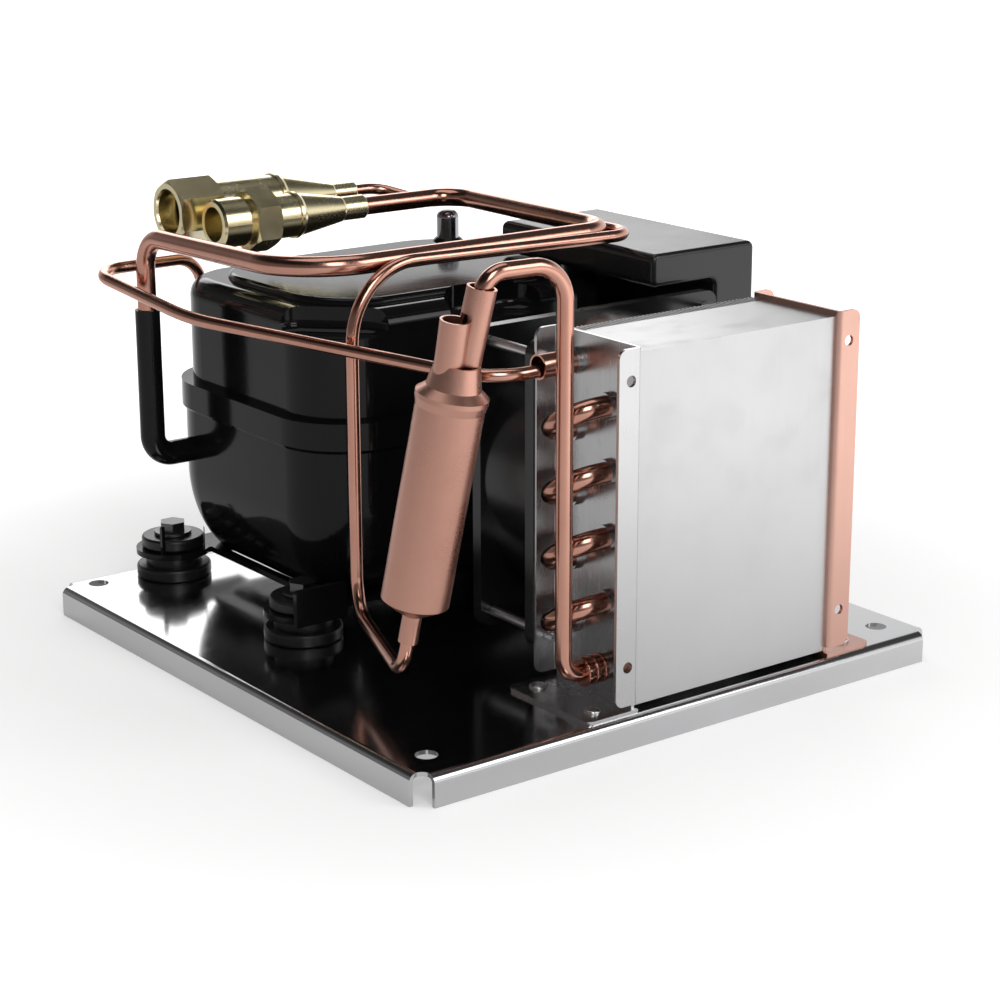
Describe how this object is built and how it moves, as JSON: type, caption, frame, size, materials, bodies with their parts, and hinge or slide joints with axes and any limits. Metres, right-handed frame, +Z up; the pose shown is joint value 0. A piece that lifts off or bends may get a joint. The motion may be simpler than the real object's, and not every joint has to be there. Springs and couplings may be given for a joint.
{
  "type": "refrigeration condensing unit",
  "caption": "Air-cooled condensing unit: hermetic compressor, finned condenser with axial fan, filter drier, copper lines and two brass couplings on a folded base plate.",
  "frame": {"origin": "centre of the base plate's footprint, on the surface it stands on", "axes": "+Z up; +X along the condenser's face, towards the control box; -Y towards the side that the air enters"},
  "size_m": [0.256, 0.271, 0.1842],
  "materials": {
    "sheet_steel": "zinc-plated sheet, satin",
    "plate_silver": "smooth sheet",
    "plate_copper": "copper-toned sheet, satin",
    "fins": "smooth, satin",
    "copper": "bare drawn copper, polished",
    "brass": "machined brass",
    "black_enamel": "black gloss enamel",
    "black_plastic": "fine moulded plastic",
    "rubber": "black rubber",
    "bright_steel": "zinc-plated",
    "fan_plastic": "moulded glass-filled plastic",
    "magnet": "sintered",
    "winding": "enamelled copper wire",
    "iron": "machined casting",
    "beads": "ceramic beads",
    "board": "glass-fibre board"
  },
  "bodies": {
    "unit": {"base_plate": "sheet_steel", "circuit_board": "board", "compressor_lower_shell": "black_enamel", "compressor_upper_shell": "black_enamel", "condenser_left_plate": "plate_silver", "condenser_right_plate": "plate_copper", "condenser_rivets": "bright_steel", "control_box_back": "black_plastic", "control_box_cover": "black_plastic", "cylinder_block": "iron", "cylinder_head": "iron", "desiccant_core": "beads", "discharge_line": "copper", "discharge_stub": "black_enamel", "drier_screens": "brass", "fan_bearings": "brass", "fan_frame": "fan_plastic", "fan_screws": "bright_steel", "fan_stator": "winding", "filter_drier": "copper", "fin_pack": "fins", "foot_bolts": "bright_steel", "foot_grommets": "rubber", "foot_nuts": "bright_steel", "foot_sleeves": "bright_steel", "foot_washers": "bright_steel", "hairpin_tubes": "copper", "inlet_socket": "copper", "left_foot_bracket": "black_enamel", "liquid_coupling_body": "brass", "liquid_coupling_tail": "brass", "liquid_line": "copper", "motor_stator": "winding", "outlet_line": "copper", "outlet_sleeve": "copper", "process_tube": "bright_steel", "return_bends": "copper", "right_foot_bracket": "black_enamel", "suction_coupling_body": "brass", "suction_coupling_tail": "brass", "suction_line": "copper", "suction_stub": "black_enamel", "suspension_springs": "bright_steel", "terminal_block": "black_plastic", "valve_plate": "bright_steel"},
    "fan_wheel": {"fan_rotor": "fan_plastic", "fan_magnet_ring": "magnet", "fan_shaft": "bright_steel"},
    "swivel_nut": {"liquid_swivel_nut": "brass"},
    "suction_poppet": {"suction_valve": "brass"},
    "liquid_poppet": {"liquid_valve": "brass"},
    "crank": {"crankshaft": "iron", "motor_rotor": "iron"},
    "piston": {"piston": "iron", "connecting_rod": "iron"}
  },
  "joints": [
    {"name": "fan_spin", "type": "hinge", "parent": "unit", "child": "fan_wheel", "pos_m": [0.022, -0.0644, 0.085], "axis": [0, 1, 0], "continuous": true},
    {"name": "swivel_nut_turn", "type": "hinge", "parent": "unit", "child": "swivel_nut", "pos_m": [-0.061, 0.1215, 0.1695], "axis": [1, 0, 0], "continuous": true},
    {"name": "suction_poppet_slide", "type": "slide", "parent": "unit", "child": "suction_poppet", "axis": [1, 0, 0], "range_m": [0, 0.003], "stiffness_N_per_m": 400, "springref_m": -0.002},
    {"name": "liquid_poppet_slide", "type": "slide", "parent": "unit", "child": "liquid_poppet", "axis": [1, 0, 0], "range_m": [0, 0.003], "stiffness_N_per_m": 400, "springref_m": -0.002},
    {"name": "crank_turn", "type": "hinge", "parent": "unit", "child": "crank", "pos_m": [-0.012, 0.0666, 0.08], "axis": [0, 0, 1], "continuous": true},
    {"name": "piston_stroke", "type": "slide", "parent": "unit", "child": "piston", "axis": [1, 0, 0], "range_m": [-0.007, 0.007]}
  ]
}
